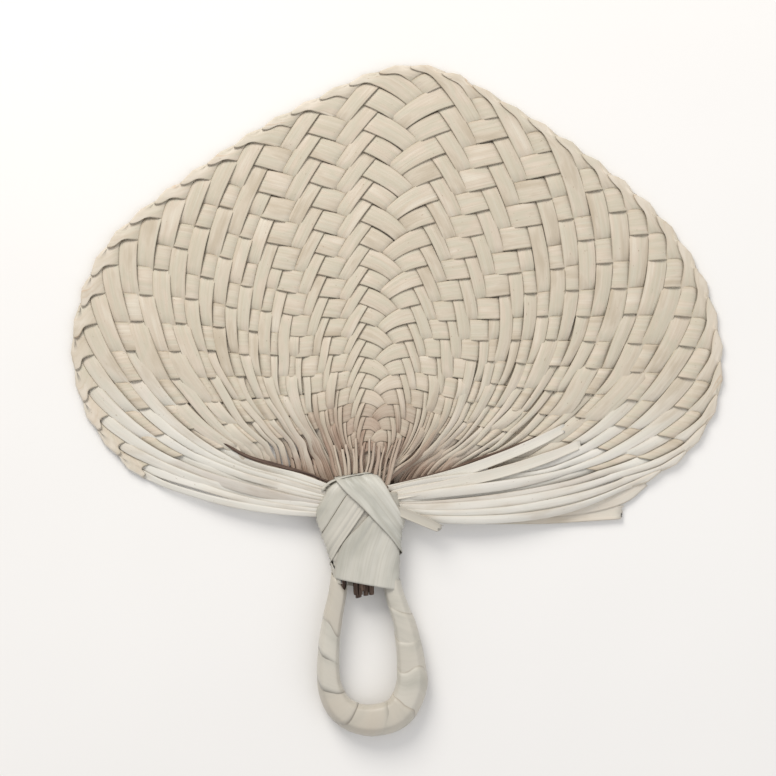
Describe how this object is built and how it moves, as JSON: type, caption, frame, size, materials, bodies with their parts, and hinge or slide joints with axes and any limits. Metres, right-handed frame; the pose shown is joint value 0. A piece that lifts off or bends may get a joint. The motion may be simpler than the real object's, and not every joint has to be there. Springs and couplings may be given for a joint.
{
  "type": "woven hand fan",
  "caption": "Heart-shaped hand fan plaited from folded palm-leaf strips that gather into a ribbon-bound collar with a ribbon-wound loop handle; moved by hand to stir the air.",
  "frame": {"origin": "middle of the flat back of the collar band, which the fan rests on when it lies on its back", "axes": "+Y from the handle to the tip of the blade, +Z out of the front of the blade, +X to the right seen from the front"},
  "size_m": [0.3233, 0.334, 0.016],
  "materials": {
    "cream_leaf": "matt dry leaf",
    "grey_leaf": "matt dry leaf",
    "warm_leaf": "matt dry leaf",
    "binding_leaf": "satin leaf ribbon",
    "stalk_leaf": "matt dry stalk"
  },
  "bodies": {
    "root": {"leaf_strip_01": "cream_leaf", "leaf_strip_02": "grey_leaf", "leaf_strip_03": "warm_leaf", "leaf_strip_04": "cream_leaf", "leaf_strip_05": "grey_leaf", "leaf_strip_06": "warm_leaf", "leaf_strip_07": "cream_leaf", "leaf_strip_08": "grey_leaf", "leaf_strip_09": "warm_leaf", "leaf_strip_10": "cream_leaf", "leaf_strip_11": "grey_leaf", "leaf_strip_12": "warm_leaf", "leaf_strip_13": "cream_leaf", "leaf_strip_14": "grey_leaf", "leaf_strip_15": "warm_leaf", "leaf_strip_16": "cream_leaf", "leaf_strip_17": "grey_leaf", "leaf_strip_18": "warm_leaf", "leaf_strip_19": "cream_leaf", "leaf_strip_20": "grey_leaf", "leaf_strip_21": "warm_leaf", "leaf_strip_22": "cream_leaf", "leaf_strip_23": "grey_leaf", "leaf_strip_24": "warm_leaf", "leaf_strip_25": "cream_leaf", "leaf_strip_26": "grey_leaf", "leaf_strip_27": "warm_leaf", "leaf_strip_28": "cream_leaf", "leaf_strip_29": "grey_leaf", "leaf_strip_30": "warm_leaf", "leaf_strip_31": "cream_leaf", "leaf_strip_32": "grey_leaf", "leaf_strip_33": "warm_leaf", "leaf_strip_34": "cream_leaf", "leaf_strip_35": "grey_leaf", "leaf_strip_36": "warm_leaf", "leaf_strip_37": "cream_leaf", "leaf_strip_38": "grey_leaf", "collar_band": "binding_leaf", "neck_binding": "binding_leaf", "cross_wrap_under": "binding_leaf", "cross_wrap_over": "binding_leaf", "binding_tail": "binding_leaf", "handle_wrap": "binding_leaf", "loose_strip": "cream_leaf", "stalk_bundle": "stalk_leaf", "handle_core": "stalk_leaf"}
  },
  "joints": []
}
